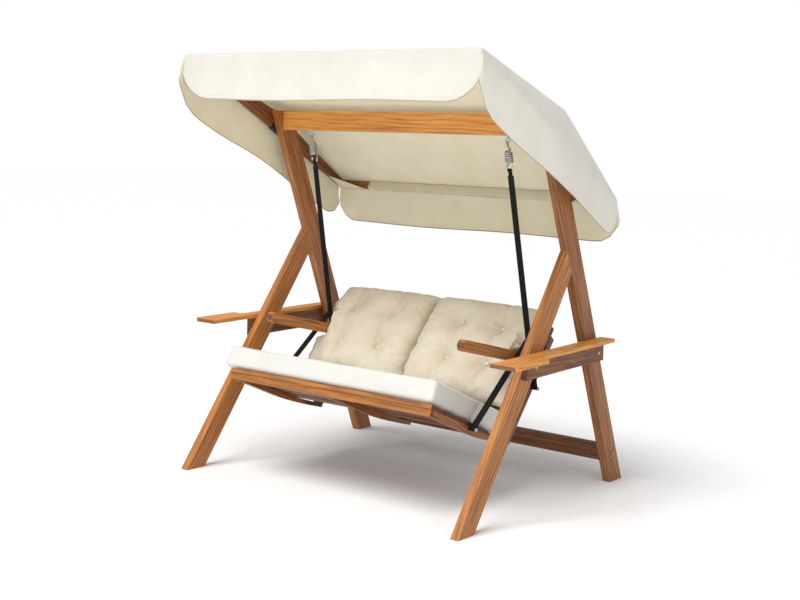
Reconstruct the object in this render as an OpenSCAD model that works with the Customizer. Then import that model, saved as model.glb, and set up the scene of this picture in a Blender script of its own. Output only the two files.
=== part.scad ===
// Two-seat garden swing bench: two leaning timber side frames carry a bench on sprung
// straps and a tilting fabric canopy. X runs across the bench, -Y is the front, Z is up.
// The origin is on the floor, midway between the side frames and between the feet.

/* [Side frames] */
// Width over the outer faces of the two side frames
frame_w = 1900; // [1800:10:2000]
// Depth over the front and rear feet
base_d = 1664; // [1600:2:1720]
// Thickness of the frame timber
timber_t = 46; // [40:1:50]
// Width of the front leg board
leg_w = 113; // [100:1:120]
// Width of the rear post board
post_w = 124; // [115:1:130]
// Lean of the front leg from the vertical, in degrees
leg_lean = 35; // [34:0.5:36]
// Lean of the rear post from the vertical, in degrees
post_lean = 23.6; // [23:0.2:24]
// Height of the flat top of the rear post
post_h = 2060; // [2050:5:2070]

/* [Beam and stretcher] */
// Height of the top beam's section
beam_h = 117; // [105:1:120]
// Thickness of the top beam
beam_t = 45; // [40:1:50]
// Height of the rear stretcher's section
stretcher_h = 92; // [80:1:100]
// Height of the stretcher's lower edge above the floor
stretcher_z = 118; // [100:1:140]

/* [Side tables] */
// Height of the table boards' upper face
table_z = 838; // [820:1:850]
// Thickness of a table board
table_t = 20; // [18:1:24]
// Tilt of the side tables, up towards the rear, in degrees
table_tilt = 1.4; // [0:0.1:2]
// Width of the table's wide front part
table_wide = 158; // [140:1:180]
// Width of the narrow part beside the frame
table_narrow = 88; // [70:1:100]
// Height of the apron board under the table
apron_h = 104; // [90:1:110]

/* [Bench] */
// Width of the slats
seat_w = 1380; // [1300:10:1380]
// Tilt of the seat, down towards the rear, in degrees
seat_tilt = 21.8; // [21:0.2:22]
// Lean of the backrest from the vertical, in degrees
back_lean = 39.9; // [39.5:0.1:40.5]
// Width of one slat
slat_w = 114; // [90:1:120]
// Spacing of the slats
slat_pitch = 150; // [140:1:150]
// Thickness of a slat
slat_t = 22; // [18:1:24]
// Number of slats in the seat, and in the backrest
slats = 4; // [3:1:4]
// Width of a bench rail
rail_t = 45; // [40:1:48]
// Height of an armrest's section
arm_h = 60; // [56:1:76]
// Tilt of the armrests, down towards the rear, in degrees
arm_tilt = 12.1; // [11.5:0.1:12.5]

/* [Cushions] */
// Thickness of the seat cushion
seat_cushion_t = 128; // [100:1:135]
// Thickness of the back cushions
back_cushion_t = 250; // [220:1:260]

/* [Suspension] */
// Width of the strap webbing
strap_w = 38; // [30:1:38]
// Thickness of the strap webbing
strap_t = 4; // [3:0.5:5]
// Wire radius of the springs
wire_r = 4.5; // [4:0.1:4.8]
// Mean radius of the spring coils
coil_r = 19.5; // [17:0.5:21]
// Number of coils in a spring
coils = 6; // [4:1:7]

/* [Canopy] */
// Width over the canopy fabric
canopy_w = 2004; // [1990:2:2020]
// Thickness of the canopy fabric's solid
fabric_t = 5; // [4:0.5:6]
// Thickness of a canopy side rail
canopy_rail_t = 28; // [24:1:30]
// Section of a canopy crossbar: thickness
bar_t = 28; // [24:1:30]
// Section of a canopy crossbar: height
bar_h = 42; // [36:1:44]

/* [Hidden] */
$fn = 48;

clear = 0.2;            // play around a shank in its hole
run_fit = 0.08;         // play around the canopy's turning pivot bolts
half_w = frame_w / 2;
inner_x = half_w - timber_t;

// Side frame lines: the y of a face at height z
leg_foot = leg_w / cos(leg_lean);
post_foot = post_w / cos(post_lean);
function leg_front(z) = -base_d / 2 + z * tan(leg_lean);
function post_front(z) = base_d / 2 - post_foot - z * tan(post_lean);
lean_sum = tan(leg_lean) + tan(post_lean);
join_front_z = (post_front(0) - leg_front(0)) / lean_sum;
join_rear_z = (post_front(0) - leg_front(0) - leg_foot) / lean_sum;
join_z = (join_front_z + join_rear_z) / 2;

beam_top = post_h + 2;
beam_y = -145;          // front face of the beam
stretcher_y = 681;      // front face of the stretcher
stretcher_t = 46;

// Bolts through the side frames, as [y, z]
stretcher_bolts = [for (k = [0.25, 0.75]) [stretcher_y + stretcher_t / 2, stretcher_z + k * stretcher_h]];
beam_bolts = [for (k = [0.25, 0.75]) [beam_y + beam_t / 2, beam_top - k * beam_h]];
apron_bolts = [[-226, 764], [436, 768]];
apron_t = 30;
apron_y = [-312, 497];  // ends of an apron board
table_pivot_y = 92;     // the side tables tilt about this point of their length
sunk_r = 12;            // counterbore of the frame bolts
sunk_d = 10;
bolt_r = 4;
head_r = 9;

table_y = [-615, -296, 512]; // front end, step and rear end of a table board
table_x = half_w + 2;
table_under = table_z - table_t;

// Bench frame origins, as [y, z]: front top edge of the seat, foot of the slats' front plane
seat_o = [-720, 596];
back_o = [-37.5, 323];
fascia_t = 22;
fascia_h = 36;
rail_end = 800;         // rear end of a seat rail, along the seat
rail_d = 42;            // depth of a back rail
back_top = 726;         // top of the backrest, along the back
back_rail_top = 681;
rail_x = seat_w / 2 - rail_t; // inner face of an outer rail
arm_o = [-427, 856];    // centre of an armrest's round end
arm_len = 800;
arm_bolt_z = 489;       // height of the arm bolts, along the back

// Suspension points, as [y, z]
hinge = [-120, 1905];   // lowest wire of the eye
kink = [136, 842];      // where the front strand leaves the strap
front_bolt = [-383, 426];
rear_bolt = [222, 562];
eye_x = 690;
strap_x = seat_w / 2 + 1.5 + strap_w / 2;
strap_bolt_r = 5;
eye_r = 13;
eye_wire = 4;
hook_r = 10;
coil_top = -45;
coil_pitch = 2 * wire_r + 1;
coil_end = coil_top - coils * coil_pitch;
hook_bar = -147;        // strap bar of the lower hook
hook_half = 15;
strap_lean = atan2(kink[0] - hinge[0], hinge[1] - kink[1]);

// Canopy lines. The pivot is the canopy's tilt axis, as [y, z]
pivot = [-75, 1985];
pivot_r = 5;
roof_front = [-866, 2338];
roof_bend = [-60, 2079];
roof_rear = [533, 1627];
rail_in = half_w + 8;
rail_out = rail_in + canopy_rail_t;
canopy_rail = [[-842, 2278], [-450, 2095], [527, 1588.5], [527, 1628], [-140, 2052], [-842, 2325]];
hem_front = 2085;
hem_rear = 1378;
side_hem = [[-866, 2078], [-830, 2030], [30, 1640], [500, 1385], [533, 1378]];
bar_front = [-838, 2281];
bar_rear = [478, 1605];
bar_slope = 27.4;

// ---------------------------------------------------------------- helpers

// Extrudes a profile drawn in Y and Z from x0 to x1
module along_x(x0, x1) {
    translate([x0, 0, 0]) rotate([90, 0, 90]) linear_extrude(x1 - x0) children();
}

// Both sides of the object, from the right-hand one
module both() {
    children();
    mirror([1, 0, 0]) children();
}

module left() {
    mirror([1, 0, 0]) children();
}

// Rod along X at [y, z]
module rod_x(p, r, x0, x1) {
    translate([x0, p[0], p[1]]) rotate([0, 90, 0]) cylinder(r = r, h = x1 - x0);
}

// Flat band of thickness t between two points of a profile
module band(a, b, t) {
    translate(a)
        rotate(atan2(b[1] - a[1], b[0] - a[0]))
            translate([0, -t / 2]) square([norm(b - a), t]);
}

// Seat frame: Y runs down the seat from its front edge, Z is the seat's normal
module on_seat() {
    translate([0, seat_o[0], seat_o[1]]) rotate([-seat_tilt, 0, 0]) children();
}

// Back frame: Z runs up the back, Y is behind the slats' front plane
module on_back() {
    translate([0, back_o[0], back_o[1]]) rotate([-back_lean, 0, 0]) children();
}

// ------------------------------------------------------------ side frames

module front_leg_shape() {
    polygon([
        [leg_front(0), 0], [leg_front(0) + leg_foot, 0],
        [post_front(join_rear_z), join_rear_z], [post_front(join_front_z), join_front_z]
    ]);
}

module post_shape() {
    polygon([
        [post_front(0), 0], [base_d / 2, 0],
        [post_front(post_h) + post_foot, post_h], [post_front(post_h), post_h]
    ]);
}

// Placed on the joint of leg and post, with Z from the post's rear edge to the leg
module at_join() {
    translate([half_w - timber_t / 2, post_front(join_z), join_z])
        rotate([90 - post_lean, 0, 0]) children();
}

module join_hole() {
    at_join() {
        translate([0, 0, -post_w - 1]) cylinder(r = bolt_r + clear, h = post_w + 66);
        translate([0, 0, -post_w - 1]) cylinder(r = sunk_r, h = sunk_d + 1);
    }
}

module leg() {
    color("peru") difference() {
        along_x(inner_x, half_w) front_leg_shape();
        join_hole();
        rod_x(apron_bolts[0], bolt_r + clear, half_w - 35, half_w + 1);
    }
}

module front_leg_left() { left() leg(); }
module front_leg_right() { leg(); }

module post() {
    color("sienna") difference() {
        along_x(inner_x, half_w) post_shape();
        join_hole();
        rod_x(apron_bolts[1], bolt_r + clear, half_w - 35, half_w + 1);
        for (p = concat(stretcher_bolts, beam_bolts)) {
            rod_x(p, bolt_r + clear, inner_x - 1, half_w + 1);
            rod_x(p, sunk_r, half_w - sunk_d, half_w + 1);
        }
        rod_x(pivot, pivot_r + run_fit, inner_x - 1, half_w + 1);
    }
}

module rear_post_left() { left() post(); }
module rear_post_right() { post(); }

module top_beam() {
    color("darkorange") difference() {
        translate([-inner_x, beam_y, beam_top - beam_h]) cube([2 * inner_x, beam_t, beam_h]);
        both() for (p = beam_bolts) rod_x(p, bolt_r + clear, inner_x - 62, inner_x + 1);
        both() translate([eye_x, hinge[0], beam_top - beam_h - 1])
            cylinder(r = bolt_r + clear, h = beam_h + 2);
    }
}

module rear_stretcher() {
    color("sienna") difference() {
        translate([-inner_x, stretcher_y, stretcher_z])
            cube([2 * inner_x, stretcher_t, stretcher_h]);
        both() for (p = stretcher_bolts) rod_x(p, bolt_r + clear, inner_x - 62, inner_x + 1);
    }
}

module frame_bolt(p) {
    rod_x(p, bolt_r, inner_x - 60, half_w - sunk_d + 2);
    rod_x(p, head_r, half_w - sunk_d, half_w - sunk_d + 6);
}

module frame_bolts() {
    color("silver") both() {
        for (p = concat(stretcher_bolts, beam_bolts)) frame_bolt(p);
        at_join() {
            translate([0, 0, sunk_d - post_w - 2]) cylinder(r = bolt_r, h = post_w + 50);
            translate([0, 0, sunk_d - post_w - 6]) cylinder(r = head_r, h = 6);
        }
    }
}

// ------------------------------------------------------------ side tables

module table_shape() {
    edge = table_x + table_wide;
    step = table_x + table_narrow;
    r = 26;
    difference() {
        union() {
            translate([table_x, table_y[0] + r]) square([table_wide, table_y[1] - table_y[0] - 2 * r]);
            translate([table_x, table_y[0]]) square([table_wide - r, table_y[1] - table_y[0]]);
            for (y = [table_y[0] + r, table_y[1] - r]) translate([edge - r, y]) circle(r);
            translate([table_x, table_y[0]]) square([table_narrow, table_y[2] - table_y[0]]);
            translate([step, table_y[1]]) square(r);
        }
        translate([step + r, table_y[1] + r]) circle(r);
    }
}

module tilted() {
    translate([0, table_pivot_y, table_under]) rotate([table_tilt, 0, 0])
        translate([0, -table_pivot_y, -table_under]) children();
}

module table_top() {
    color("peru") tilted() translate([0, 0, table_under]) linear_extrude(table_t) table_shape();
}

module table_top_left() { left() table_top(); }
module table_top_right() { table_top(); }

module table_apron() {
    color("sienna") difference() {
        tilted() translate([half_w, apron_y[0], table_under - apron_h])
            cube([apron_t, apron_y[1] - apron_y[0], apron_h]);
        for (p = apron_bolts) rod_x(p, bolt_r + clear, half_w - 1, half_w + apron_t + 1);
    }
}

module table_apron_left() { left() table_apron(); }
module table_apron_right() { table_apron(); }

module apron_bolts() {
    color("silver") both() for (p = apron_bolts) {
        rod_x(p, bolt_r, half_w - 33, half_w + apron_t + 1);
        rod_x(p, head_r, half_w + apron_t, half_w + apron_t + 4);
        rod_x(p, head_r - 3, half_w + apron_t + 3, half_w + apron_t + 6);
    }
}

// ------------------------------------------------------------- suspension

module eye_bolts() {
    under = beam_top - beam_h;
    color("silver") both() translate([eye_x, hinge[0], 0]) {
        translate([0, 0, hinge[1] + eye_r]) rotate([90, 0, 0])
            rotate_extrude() translate([eye_r, 0]) circle(eye_wire);
        translate([0, 0, hinge[1] + 2 * eye_r])
            cylinder(r = bolt_r, h = under - hinge[1] - 2 * eye_r + beam_h + 10);
        translate([0, 0, under - 5]) cylinder(r = 10, h = 5);
        translate([0, 0, under + beam_h]) cylinder(r = 9, h = 7, $fn = 6);
    }
}

// Centre line of a spring's wire: upper hook, coils, then the bar that holds the strap
hook_turn = [for (a = [-60:15:240]) [0, hook_r * cos(a), hook_r * sin(a)]];
lead_in = [[0, -3, -13], [0, 4, -18], [0, 12, -27], [0, coil_r - 2, -36]];
coil_line = [for (k = [0:coils * 20]) [
    -coil_r * sin(k * 18), coil_r * cos(k * 18), coil_top - k * coil_pitch / 20
]];
lead_out = [[-9, coil_r - 1, coil_end - 4], [-15, 11, coil_end - 12], [-hook_half - 2, 2, coil_end - 20]];
bar_line = [
    [-hook_half - 3, 0, hook_bar + 10], [-hook_half - 1.5, 0, hook_bar + 3],
    [-hook_half + 2, 0, hook_bar], [0, 0, hook_bar], [hook_half - 2, 0, hook_bar],
    [hook_half + 1.5, 0, hook_bar + 3], [hook_half + 3, 0, hook_bar + 10],
    [hook_half + 2, 0, hook_bar + 24]
];
spring_line = concat(hook_turn, lead_in, coil_line, lead_out, bar_line);

function unit(v) = v / norm(v);
function tangent(p, i) = unit(p[min(i + 1, len(p) - 1)] - p[max(i - 1, 0)]);
// Side vectors carried along the line without twist
function sides(p, i, s) = i == len(p) ? [] :
    let (t = tangent(p, i), n = unit(s - (s * t) * t)) concat([n], sides(p, i + 1, n));

module wire(p, r, n) {
    normals = sides(p, 0, [1, 0, 0.01]);
    rings = [for (i = [0:len(p) - 1]) let (t = tangent(p, i), u = normals[i], v = cross(t, u))
        for (k = [0:n - 1]) p[i] + r * (cos(k * 360 / n) * u + sin(k * 360 / n) * v)];
    last = (len(p) - 1) * n;
    walls = [for (i = [0:len(p) - 2], k = [0:n - 1])
        [i * n + k, (i + 1) * n + k, (i + 1) * n + (k + 1) % n, i * n + (k + 1) % n]];
    polyhedron(rings, concat(walls, [[for (k = [0:n - 1]) k]], [[for (k = [n - 1:-1:0]) last + k]]));
}

module spring() {
    color("gainsboro") translate([eye_x, hinge[0], hinge[1]])
        rotate([strap_lean, 0, 0]) wire(spring_line, wire_r, 8);
}

module spring_left() { left() spring(); }
module spring_right() { spring(); }

// Where the strap hangs on its hook, as [y, z]
strap_top = hinge + [sin(strap_lean), -cos(strap_lean)] * -hook_bar;
loop_in = wire_r + 0.8;
strap_tongue = 24;      // width of the strap where it is folded over the hook
kink_r = strap_t / 2 + 0.6;

module strap_loop(p, r) {
    translate(p) difference() {
        circle(r + strap_t);
        circle(r);
    }
}

module strap_profile() {
    difference() {
        union() {
            band(kink, rear_bolt, strap_t);
            translate(kink) circle(kink_r);
            translate(rear_bolt) circle(strap_bolt_r + 0.3 + strap_t);
        }
        translate(rear_bolt) circle(strap_bolt_r + 0.3);
    }
}

// Upper stretch, which spreads from the hook out to the strap's own line. Its lengths
// differ a little in width and thickness, so that no two faces fall together
module strap_run() {
    run = norm(kink - strap_top);
    translate([eye_x, strap_top[0], strap_top[1]]) rotate([strap_lean, 0, 0]) {
        rotate([0, -atan2(strap_x - eye_x, run), 0]) translate([1 - strap_w / 2, -strap_t / 2, -run])
            cube([strap_w - 2, strap_t, run - 30]);
        translate([1 - strap_tongue / 2, -strap_t / 2 - 0.6, -34])
            cube([strap_tongue - 2, strap_t + 1.2, 34 - loop_in - 1]);
    }
}

module strap() {
    color("black") {
        strap_run();
        along_x(eye_x - strap_tongue / 2, eye_x + strap_tongue / 2) strap_loop(strap_top, loop_in);
        along_x(strap_x - strap_w / 2, strap_x + strap_w / 2) strap_profile();
    }
}

module strap_left() { left() strap(); }
module strap_right() { strap(); }

module front_strand() {
    color("black") along_x(strap_x - strap_w / 2, strap_x + strap_w / 2) difference() {
        union() {
            band(kink, front_bolt, strap_t);
            translate(front_bolt) circle(strap_bolt_r + 0.3 + strap_t);
        }
        translate(front_bolt) circle(strap_bolt_r + 0.3);
        band(kink + (kink - strap_top) * 0.2, strap_top, strap_t + 1);
        band(kink, rear_bolt, strap_t + 1);
        translate(kink) circle(kink_r + 0.5);
    }
}

module front_strand_left() { left() front_strand(); }
module front_strand_right() { front_strand(); }

module strap_bolts() {
    out = strap_x + strap_w / 2;
    color("silver") both() for (p = [front_bolt, rear_bolt]) {
        rod_x(p, strap_bolt_r, rail_x + 4, out + 2);
        rod_x(p, 8.5, out + 1, out + 7);
    }
}

// ------------------------------------------------------------------ bench

// Lower edge of a seat rail: level under the slats, then rising to the rear end
function rail_under(y) = -slat_t - fascia_h + 36 * pow(max(0, (y - 380) / (rail_end - 380)), 1.7);
slats_end = (slats - 1) * slat_pitch + slat_w + 8;
rail_end_top = -2;
rail_slope = (rail_end_top + slat_t) / (rail_end - slats_end);

module seat_rail_shape() {
    polygon(concat(
        [[fascia_t + 8, -slat_t], [slats_end, -slat_t], [rail_end - 6, rail_end_top - 6 * rail_slope]],
        [[rail_end, rail_end_top - 6]],
        [for (y = [rail_end:-35:fascia_t + 8]) [y, rail_under(y)]],
        [[fascia_t + 8, rail_under(0)]]
    ));
}

// Holes of the strap bolts in a bench rail
module strap_holes() {
    both() for (p = [front_bolt, rear_bolt])
        rod_x(p, strap_bolt_r + clear, rail_x + 2, seat_w / 2 + 1);
}

module seat_rail(x) {
    color("peru") difference() {
        on_seat() along_x(x, x + rail_t) seat_rail_shape();
        strap_holes();
    }
}

module seat_rail_left() { left() seat_rail(rail_x); }
module seat_rail_centre() { seat_rail(-rail_t / 2); }
module seat_rail_right() { seat_rail(rail_x); }

module seat_fascia() {
    color("sandybrown") on_seat() translate([-seat_w / 2 + 1, 7, -slat_t - fascia_h])
        cube([seat_w - 2, fascia_t, fascia_h]);
}

screw_x = [-rail_x - 10, 0, rail_x + 10];
screw_r = 5;
screw_d = 3;

// One slat lying in X and Y, its upper face at Z = 0, with screw pockets
module slat() {
    difference() {
        translate([-seat_w / 2, 0, -slat_t]) cube([seat_w, slat_w, slat_t]);
        for (x = screw_x, y = [slat_w * 0.25, slat_w * 0.75])
            translate([x, y, -screw_d]) cylinder(r = screw_r + clear, h = screw_d + 1);
    }
}

module slat_screws() {
    for (x = screw_x, y = [slat_w * 0.25, slat_w * 0.75])
        translate([x, y, -screw_d]) cylinder(r = screw_r, h = screw_d - 0.5);
}

module at_seat_slat(i) {
    on_seat() translate([0, i * slat_pitch, 0]) children();
}

// Back slats are counted from the top
module at_back_slat(i) {
    on_back() translate([0, 0, back_top - slat_w - i * slat_pitch]) rotate([90, 0, 0]) children();
}

module seat_slat(i) {
    color("peru") at_seat_slat(i) slat();
}

module seat_slat_1() { seat_slat(0); }
module seat_slat_2() { seat_slat(1); }
module seat_slat_3() { seat_slat(2); }
module seat_slat_4() { seat_slat(3); }

module back_slat(i) {
    color("sienna") difference() {
        at_back_slat(i) slat();
        arm_holes();
    }
}

module back_slat_1() { back_slat(0); }
module back_slat_2() { back_slat(1); }
module back_slat_3() { back_slat(2); }
module back_slat_4() { back_slat(3); }

// Cuts the foot of a back rail to the sloping upper edge of the seat rail
module seat_rail_cut() {
    on_seat() along_x(-seat_w, seat_w) polygon([
        [slats_end, -slat_t], [rail_end + 60, rail_end_top + 60 * rail_slope],
        [rail_end + 60, -200], [slats_end, -200]
    ]);
}

module back_rail(x) {
    color("sienna") difference() {
        on_back() translate([x, slat_t, -40]) cube([rail_t, rail_d, back_rail_top + 40]);
        seat_rail_cut();
        strap_holes();
        arm_holes();
    }
}

module back_rail_left() { left() back_rail(rail_x); }
module back_rail_centre() { back_rail(-rail_t / 2); }
module back_rail_right() { back_rail(rail_x); }

// Steel plates that join seat and back rails, on the rails' inner faces
module corner_plates() {
    t = 4;
    color("dimgray") for (x = [-rail_x, -rail_t / 2 - t, rail_x - t]) {
        on_seat() along_x(x, x + t) polygon([
            [640, -38], [782, -22], [786, 10], [800, 96], [772, 92], [742, 12], [722, -12], [640, -20]
        ]);
    }
}

module bench_screws() {
    color("silver") {
        for (i = [0:slats - 1]) {
            at_seat_slat(i) slat_screws();
            at_back_slat(i) slat_screws();
        }
    }
}

// ---------------------------------------------------------------- armrests

module arm_holes() {
    both() on_back() translate([rail_x + rail_t / 2, slat_t + rail_d + 1, arm_bolt_z])
        rotate([90, 0, 0]) {
            cylinder(r = bolt_r + clear, h = slat_t + rail_d + 44);
            cylinder(r = sunk_r, h = 9);
        }
}

module armrest() {
    color("peru") difference() {
        translate([0, arm_o[0], arm_o[1]]) rotate([-arm_tilt, 0, 0]) along_x(rail_x, rail_x + rail_t) {
            circle(arm_h / 2);
            translate([0, -arm_h / 2]) square([arm_len, arm_h]);
        }
        on_back() translate([0, 0, 200]) cube([seat_w, 400, 600]);
        arm_holes();
    }
}

module armrest_left() { left() armrest(); }
module armrest_right() { armrest(); }

module arm_bolts() {
    color("silver") both() on_back() translate([rail_x + rail_t / 2, slat_t + rail_d - 2, arm_bolt_z])
        rotate([90, 0, 0]) {
            translate([0, 0, 2]) cylinder(r = bolt_r, h = slat_t + rail_d + 38);
            cylinder(r = head_r, h = 6);
        }
}

// --------------------------------------------------------------- cushions

seat_cushion_y = [2, 700];
seat_bulge = [776, 290]; // the front of the seat cushion bulges past the bench on the left
back_cushion_z = [59.5, 141, 770]; // lower front edge, lower rear edge, upper edge
back_cushion_y = -4;    // rear face of the back cushions, just off the slats
// Inner edge, outer edge between the armrests, and outer edge above and below them
left_cushion_x = [-29, -641, -752];
right_cushion_x = [-1, 641, 738];
above_arm_z = 560;      // the cushions spread over the armrests from here up
below_arm_z = 310;      // and under them from here down
ear_t = 200;            // thickness of the parts that spread past the armrests
button_z = [334, 568];
button_x = [-545, -258, 238, 508];

module seat_cushion() {
    w = seat_w - 8;
    color("ivory") on_seat() translate([0, seat_cushion_y[0], 1.5]) linear_extrude(seat_cushion_t) polygon([
        [w / 2, 0], [w / 2, seat_cushion_y[1] - seat_cushion_y[0]],
        [-w / 2, seat_cushion_y[1] - seat_cushion_y[0]], [-w / 2, seat_bulge[1]],
        [-seat_bulge[0], seat_bulge[1] - 30], [-seat_bulge[0], 0]
    ]);
}

// Height of a back cushion's lower face at depth y, just above the seat cushion
function cushion_foot(y) = back_cushion_z[1]
    + (back_cushion_z[0] - back_cushion_z[1]) * (back_cushion_y - y) / back_cushion_t;

module back_cushion(x) {
    back = back_cushion_y;
    front = back - back_cushion_t;
    ear = back - ear_t;
    color("wheat") on_back() union() {
        along_x(min(x[0], x[1]), max(x[0], x[1])) polygon([
            [back, back_cushion_z[1]], [front, back_cushion_z[0]],
            [front, back_cushion_z[2]], [back, back_cushion_z[2]]
        ]);
        mirror([x[1] < 0 ? 1 : 0, 0, 0]) along_x(abs(x[1]) - 1, abs(x[2])) {
            polygon([
                [back, above_arm_z], [ear, above_arm_z],
                [ear, back_cushion_z[2]], [back, back_cushion_z[2]]
            ]);
            polygon([
                [back, cushion_foot(back)], [ear, cushion_foot(ear)],
                [ear, below_arm_z], [back, below_arm_z]
            ]);
        }
    }
}

module back_cushion_left() { back_cushion(left_cushion_x); }
module back_cushion_right() { back_cushion(right_cushion_x); }

module cushion_buttons() {
    color("beige") on_back() for (x = button_x, z = button_z)
        translate([x, back_cushion_y - back_cushion_t - 0.3, z])
            rotate([90, 0, 0]) cylinder(r = 11, h = 4);
}

// ----------------------------------------------------------------- canopy

module canopy_side_rail() {
    color("sienna") difference() {
        along_x(rail_in, rail_out) polygon(canopy_rail);
        rod_x(pivot, pivot_r + clear, rail_in - 1, rail_out + 1);
        bar_holes(bar_r = 3 + clear);
    }
}

module canopy_rail_left() { left() canopy_side_rail(); }
module canopy_rail_right() { canopy_side_rail(); }

// Crossbars between the side rails, square to the rails' lower edge
module canopy_bar(p) {
    difference() {
        translate([-rail_in, p[0], p[1]]) rotate([-bar_slope, 0, 0]) cube([2 * rail_in, bar_t, bar_h]);
        both() bar_holes(bar_r = 3 + clear);
    }
}

// Screws through a side rail into the ends of both crossbars
module bar_holes(bar_r) {
    for (p = [bar_front, bar_rear])
        translate([0, p[0], p[1]]) rotate([-bar_slope, 0, 0])
            rod_x([bar_t / 2, bar_h / 2], bar_r, rail_in - 42, rail_out + 1);
}

module canopy_front_bar() { color("peru") canopy_bar(bar_front); }
module canopy_rear_bar() { color("sienna") canopy_bar(bar_rear); }

module canopy_screws() {
    color("silver") both() for (p = [bar_front, bar_rear])
        translate([0, p[0], p[1]]) rotate([-bar_slope, 0, 0]) {
            rod_x([bar_t / 2, bar_h / 2], 3, rail_in - 40, rail_out);
            rod_x([bar_t / 2, bar_h / 2], 6, rail_out, rail_out + 2);
        }
}

// Steel saddle between a rail and its post, folded out under the rail
module canopy_saddles() {
    color("black") both() difference() {
        union() {
            along_x(half_w + 2, rail_in) polygon([
                [-190, 1951], [-30, 1868], [-22, 1884], [-40, 2000], [-140, 2035], [-182, 1967]
            ]);
            along_x(half_w + 2, rail_out - 3) polygon([
                [-190, 1951], [-190, 1959.6], [-30, 1876.6], [-30, 1868]
            ]);
        }
        rod_x(pivot, pivot_r + clear, half_w, rail_out + 1);
    }
}

module canopy_pivot_bolts() {
    color("dimgray") both() {
        rod_x(pivot, pivot_r, inner_x - 8, rail_out + 2);
        rod_x(pivot, 11, rail_out + 0.5, rail_out + 5);
        rod_x(pivot, 10, inner_x - 8, inner_x - 0.5);
    }
}

roof_line = [roof_front, roof_bend, roof_rear];
up = [0, fabric_t];

module canopy_roof() {
    color("ivory") along_x(-canopy_w / 2, canopy_w / 2) polygon(concat(
        roof_line, [for (i = [2:-1:0]) roof_line[i] + up]
    ));
}

module valance_front() {
    color("ivory") translate([-canopy_w / 2, roof_front[0], hem_front])
        cube([canopy_w, fabric_t, roof_front[1] - hem_front - 2]);
}

module valance_rear() {
    color("ivory") translate([-canopy_w / 2, roof_rear[0] - fabric_t, hem_rear])
        cube([canopy_w, fabric_t, roof_rear[1] - hem_rear]);
}

module valance_side() {
    color("ivory") along_x(canopy_w / 2 - fabric_t, canopy_w / 2) intersection() {
        polygon(concat(side_hem, [roof_rear, roof_bend, roof_front]));
        translate([roof_front[0] + fabric_t, 0])
            square([roof_rear[0] - roof_front[0] - 2 * fabric_t, 3000]);
    }
}

module valance_left() { left() valance_side(); }
module valance_right() { valance_side(); }

front_leg_left();
front_leg_right();
rear_post_left();
rear_post_right();
top_beam();
rear_stretcher();
table_top_left();
table_top_right();
table_apron_left();
table_apron_right();
frame_bolts();
apron_bolts();
eye_bolts();
spring_left();
spring_right();
strap_left();
strap_right();
front_strand_left();
front_strand_right();
strap_bolts();
seat_rail_left();
seat_rail_centre();
seat_rail_right();
seat_fascia();
seat_slat_1();
seat_slat_2();
seat_slat_3();
seat_slat_4();
back_rail_left();
back_rail_centre();
back_rail_right();
back_slat_1();
back_slat_2();
back_slat_3();
back_slat_4();
corner_plates();
bench_screws();
armrest_left();
armrest_right();
arm_bolts();
seat_cushion();
back_cushion_left();
back_cushion_right();
cushion_buttons();
canopy_rail_left();
canopy_rail_right();
canopy_front_bar();
canopy_rear_bar();
canopy_saddles();
canopy_pivot_bolts();
canopy_screws();
canopy_roof();
valance_front();
valance_rear();
valance_left();
valance_right();
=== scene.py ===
# %% [markdown]
# # A two-seat canopy swing bench
# Two leaning timber side frames carry a slatted bench on sprung webbing straps, with a
# tilting fabric canopy above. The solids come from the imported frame, and this lesson
# gives them their finishes. It makes the soft goods and the springs itself: the canopy
# with its sleeves and pockets, the seat pad, the tufted back pillows and two coils.

import math

import bpy
import numpy as np
from mathutils import Matrix, Vector, noise
from mathutils.bvhtree import BVHTree


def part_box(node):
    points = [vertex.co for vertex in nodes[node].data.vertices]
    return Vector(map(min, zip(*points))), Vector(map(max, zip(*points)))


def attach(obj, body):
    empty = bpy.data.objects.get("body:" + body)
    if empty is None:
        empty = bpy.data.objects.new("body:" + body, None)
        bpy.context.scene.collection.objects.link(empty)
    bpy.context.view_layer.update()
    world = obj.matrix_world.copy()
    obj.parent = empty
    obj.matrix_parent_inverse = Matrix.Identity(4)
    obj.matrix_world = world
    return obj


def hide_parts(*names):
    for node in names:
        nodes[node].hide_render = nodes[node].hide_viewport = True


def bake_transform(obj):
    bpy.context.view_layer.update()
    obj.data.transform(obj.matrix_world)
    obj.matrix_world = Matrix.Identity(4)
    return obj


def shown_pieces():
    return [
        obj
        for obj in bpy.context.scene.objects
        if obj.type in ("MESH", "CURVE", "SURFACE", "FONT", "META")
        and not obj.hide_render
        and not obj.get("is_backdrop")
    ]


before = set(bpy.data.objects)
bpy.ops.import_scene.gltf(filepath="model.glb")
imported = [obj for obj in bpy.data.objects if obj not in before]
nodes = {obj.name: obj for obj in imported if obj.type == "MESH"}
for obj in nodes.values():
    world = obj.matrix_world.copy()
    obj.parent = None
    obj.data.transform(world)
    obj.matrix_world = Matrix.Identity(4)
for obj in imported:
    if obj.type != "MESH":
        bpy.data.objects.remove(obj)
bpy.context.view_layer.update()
scene = bpy.context.scene

# %% [markdown]
# ## Camera
# The bench is seen from its right-hand front corner, from standing height and about
# seven metres away. A camera at that distance with a moderately long lens keeps the
# uprights nearly straight. It looks level, so the frame is set lower with the lens
# shift, as a studio camera's falling front does, and the legs don't lean together.

# %% Camera
CAMERA_PLACE = Vector((4.3063, -5.8132, 1.8326))
TURN = 0.6478  # radians from straight ahead
PITCH = 0.004727
ROLL = 0.038714
SENSOR_MM = 36.0
FOCUS = 1.581875  # focal length over the picture's width
SHIFT = (-0.0039, -0.1764)

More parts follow.
